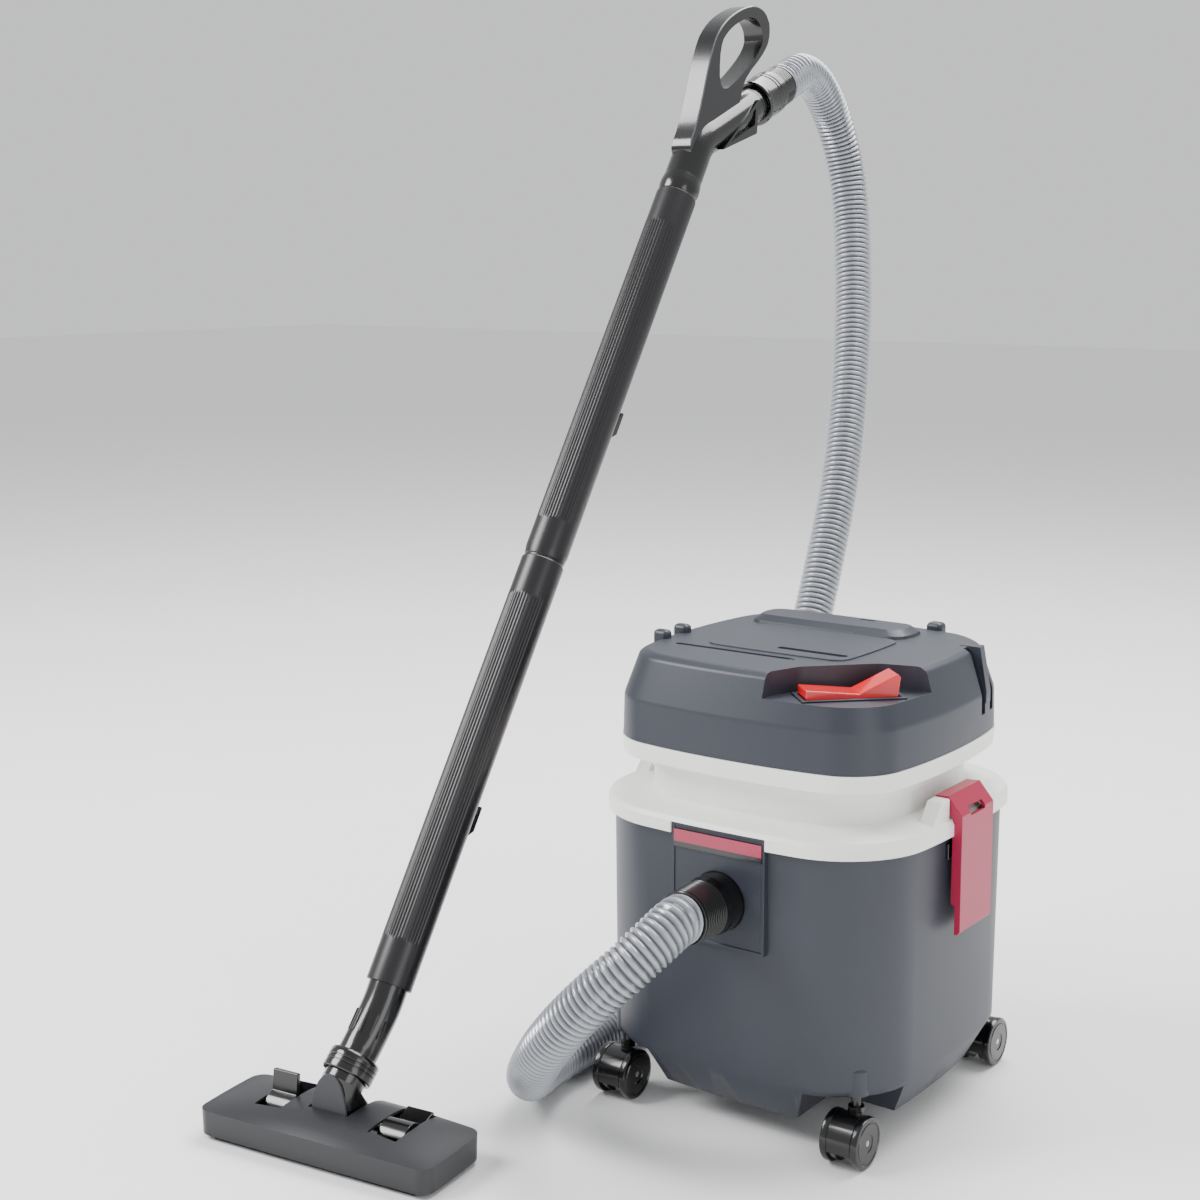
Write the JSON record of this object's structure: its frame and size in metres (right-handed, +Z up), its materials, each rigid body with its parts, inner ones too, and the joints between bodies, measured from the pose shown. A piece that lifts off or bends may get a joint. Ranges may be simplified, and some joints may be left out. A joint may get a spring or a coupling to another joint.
{
  "type": "canister vacuum cleaner",
  "caption": "Upright canister vacuum cleaner on casters, with a lift-off motor head, side latches, ribbed hose, straight wand, loop grip and floor head with pedals.",
  "frame": {"origin": "on the floor, under the middle of the box round every piece except the hose and its two cuffs", "axes": "+Z up; the hose inlet, switch corner and floor head face -Y; the wand stands on the -X side"},
  "size_m": [0.6016, 1.0492, 1.1389],
  "materials": {
    "slate_abs": "satin",
    "white_abs": "satin",
    "black_abs": "gloss",
    "charcoal_abs": "satin",
    "crimson_abs": "satin",
    "red_abs": "gloss",
    "silver_pvc": "gloss",
    "black_rubber": "matte",
    "filter_felt": "matte",
    "pin_steel": "satin",
    "motor_alloy": "matte"
  },
  "bodies": {
    "canister": {"tank": "slate_abs", "inlet_plate": "slate_abs", "inlet_label": "crimson_abs", "inlet_seal": "black_rubber", "latch_catch_right": "black_abs", "latch_catch_left": "black_abs", "hose": "silver_pvc", "hose_cuff_handle": "black_abs"},
    "inlet_cuff": {"hose_cuff_inlet": "black_abs"},
    "motor_head": {"cover_ring": "white_abs", "motor_seat": "white_abs", "rim_seal": "black_rubber", "motor_cover": "slate_abs", "switch_bezel": "slate_abs", "switch_body": "black_abs", "cord_gland": "black_rubber", "motor_body": "motor_alloy", "filter_cage": "white_abs", "cloth_filter": "filter_felt", "latch_pin_right": "pin_steel", "latch_pin_left": "pin_steel"},
    "rocker": {"switch_rocker": "red_abs"},
    "impeller": {"impeller": "motor_alloy"},
    "float": {"float_cup": "red_abs"},
    "latch_right": {"latch_right": "crimson_abs"},
    "latch_left": {"latch_left": "crimson_abs"},
    "wand": {"wand_lower": "charcoal_abs", "wand_upper": "charcoal_abs", "wand_hook_lower": "black_abs", "wand_hook_upper": "black_abs", "handle_tube": "black_abs", "handle_grip": "black_abs", "elbow_tube": "black_abs", "elbow_collar": "black_abs"},
    "neck": {"floor_head_neck": "black_abs"},
    "floor_head": {"floor_head_shell": "charcoal_abs", "floor_head_sole": "black_abs"},
    "pedal_left": {"pedal_left": "black_abs"},
    "pedal_right": {"pedal_right": "black_abs"},
    "brushes": {"brush_strip_front": "black_rubber", "brush_strip_rear": "black_rubber"},
    "head_roller_left": {"head_roller_left": "black_rubber"},
    "head_roller_right": {"head_roller_right": "black_rubber"},
    "caster_front_right": {"caster_front_right_housing": "black_abs", "caster_front_right_axle": "pin_steel"},
    "caster_front_right_wheel_right": {"caster_front_right_wheel_right": "black_abs"},
    "caster_front_right_wheel_left": {"caster_front_right_wheel_left": "black_abs"},
    "caster_front_left": {"caster_front_left_housing": "black_abs", "caster_front_left_axle": "pin_steel"},
    "caster_front_left_wheel_right": {"caster_front_left_wheel_right": "black_abs"},
    "caster_front_left_wheel_left": {"caster_front_left_wheel_left": "black_abs"},
    "caster_rear_right": {"caster_rear_right_housing": "black_abs", "caster_rear_right_axle": "pin_steel"},
    "caster_rear_right_wheel_right": {"caster_rear_right_wheel_right": "black_abs"},
    "caster_rear_right_wheel_left": {"caster_rear_right_wheel_left": "black_abs"},
    "caster_rear_left": {"caster_rear_left_housing": "black_abs", "caster_rear_left_axle": "pin_steel"},
    "caster_rear_left_wheel_right": {"caster_rear_left_wheel_right": "black_abs"},
    "caster_rear_left_wheel_left": {"caster_rear_left_wheel_left": "black_abs"}
  },
  "joints": [
    {"name": "latch_right_swing", "type": "hinge", "parent": "motor_head", "child": "latch_right", "pos_m": [0.27981, 0.05856, 0.327], "axis": [0, -1, 0], "range_deg": [0, 110]},
    {"name": "latch_left_swing", "type": "hinge", "parent": "motor_head", "child": "latch_left", "pos_m": [-0.04619, 0.05856, 0.327], "axis": [0, 1, 0], "range_deg": [0, 110]},
    {"name": "head_lift", "type": "slide", "parent": "canister", "child": "motor_head", "axis": [0, 0, 1], "range_m": [0, 0.25]},
    {"name": "switch_press", "type": "hinge", "parent": "motor_head", "child": "rocker", "pos_m": [0.21281, -0.04344, 0.436], "axis": [-0.7071, 0.7071, 0], "range_deg": [0, 12]},
    {"name": "wand_swing", "type": "hinge", "parent": "canister", "child": "wand", "pos_m": [-0.16319, 0.26575, 0.9749], "axis": [0, 0.9239, 0.3827], "range_deg": [-15, 60]},
    {"name": "neck_swivel", "type": "hinge", "parent": "wand", "child": "neck", "pos_m": [-0.16619, -0.32744, 0.075], "axis": [0, 0.7071, 0.7071], "range_deg": [-90, 90]},
    {"name": "head_tilt", "type": "hinge", "parent": "neck", "child": "floor_head", "pos_m": [-0.16853, -0.33998, 0.022], "axis": [0.9935, 0.1142, 0], "range_deg": [-6, 30]},
    {"name": "pedal_left_press", "type": "hinge", "parent": "floor_head", "child": "pedal_left", "pos_m": [-0.23055, -0.35214, 0.022], "axis": [0.9935, 0.1142, 0], "range_deg": [-66, 0]},
    {"name": "pedal_right_press", "type": "hinge", "parent": "floor_head", "child": "pedal_right", "pos_m": [-0.09742, -0.33683, 0.022], "axis": [0.9935, 0.1142, 0], "range_deg": [0, 66]},
    {"name": "brush_drop", "type": "slide", "parent": "floor_head", "child": "brushes", "axis": [0, 0, 1], "range_m": [0, 0.005]},
    {"name": "inlet_cuff_turn", "type": "hinge", "parent": "canister", "child": "inlet_cuff", "pos_m": [0.11881, -0.18244, 0.239], "axis": [0, -1, 0], "continuous": true},
    {"name": "float_rise", "type": "slide", "parent": "motor_head", "child": "float", "axis": [0, 0, 1], "range_m": [0, 0.05]},
    {"name": "impeller_spin", "type": "hinge", "parent": "motor_head", "child": "impeller", "pos_m": [0.11681, 0.05356, 0.369], "axis": [0, 0, 1], "continuous": true},
    {"name": "caster_front_right_swivel", "type": "hinge", "parent": "canister", "child": "caster_front_right", "pos_m": [0.24781, -0.07944, 0.05], "axis": [0, 0, 1], "continuous": true},
    {"name": "caster_front_right_wheel_right_spin", "type": "hinge", "parent": "caster_front_right", "child": "caster_front_right_wheel_right", "pos_m": [0.24781, -0.09144, 0.025], "axis": [1, 0, 0], "continuous": true},
    {"name": "caster_front_right_wheel_left_spin", "type": "hinge", "parent": "caster_front_right", "child": "caster_front_right_wheel_left", "pos_m": [0.24781, -0.09144, 0.025], "axis": [1, 0, 0], "continuous": true},
    {"name": "caster_front_left_swivel", "type": "hinge", "parent": "canister", "child": "caster_front_left", "pos_m": [-0.01419, -0.07944, 0.05], "axis": [0, 0, 1], "continuous": true},
    {"name": "caster_front_left_wheel_right_spin", "type": "hinge", "parent": "caster_front_left", "child": "caster_front_left_wheel_right", "pos_m": [-0.01419, -0.09144, 0.025], "axis": [1, 0, 0], "continuous": true},
    {"name": "caster_front_left_wheel_left_spin", "type": "hinge", "parent": "caster_front_left", "child": "caster_front_left_wheel_left", "pos_m": [-0.01419, -0.09144, 0.025], "axis": [1, 0, 0], "continuous": true},
    {"name": "caster_rear_right_swivel", "type": "hinge", "parent": "canister", "child": "caster_rear_right", "pos_m": [0.24781, 0.18656, 0.05], "axis": [0, 0, 1], "continuous": true},
    {"name": "caster_rear_right_wheel_right_spin", "type": "hinge", "parent": "caster_rear_right", "child": "caster_rear_right_wheel_right", "pos_m": [0.24781, 0.19856, 0.025], "axis": [1, 0, 0], "continuous": true},
    {"name": "caster_rear_right_wheel_left_spin", "type": "hinge", "parent": "caster_rear_right", "child": "caster_rear_right_wheel_left", "pos_m": [0.24781, 0.19856, 0.025], "axis": [1, 0, 0], "continuous": true},
    {"name": "caster_rear_left_swivel", "type": "hinge", "parent": "canister", "child": "caster_rear_left", "pos_m": [-0.01419, 0.18656, 0.05], "axis": [0, 0, 1], "continuous": true},
    {"name": "caster_rear_left_wheel_right_spin", "type": "hinge", "parent": "caster_rear_left", "child": "caster_rear_left_wheel_right", "pos_m": [-0.01419, 0.19856, 0.025], "axis": [1, 0, 0], "continuous": true},
    {"name": "caster_rear_left_wheel_left_spin", "type": "hinge", "parent": "caster_rear_left", "child": "caster_rear_left_wheel_left", "pos_m": [-0.01419, 0.19856, 0.025], "axis": [1, 0, 0], "continuous": true},
    {"name": "head_roller_left_spin", "type": "hinge", "parent": "floor_head", "child": "head_roller_left", "pos_m": [-0.27345, -0.33795, 0.008], "axis": [0.9935, 0.1142, 0], "continuous": true},
    {"name": "head_roller_right_spin", "type": "hinge", "parent": "floor_head", "child": "head_roller_right", "pos_m": [-0.05886, -0.31327, 0.008], "axis": [0.9935, 0.1142, 0], "continuous": true}
  ],
  "couplings": [
    {"joint": "pedal_right_press", "follows": "pedal_left_press", "ratio": -1},
    {"joint": "brush_drop", "follows": "pedal_left_press", "m_per_rad": -0.00434}
  ]
}
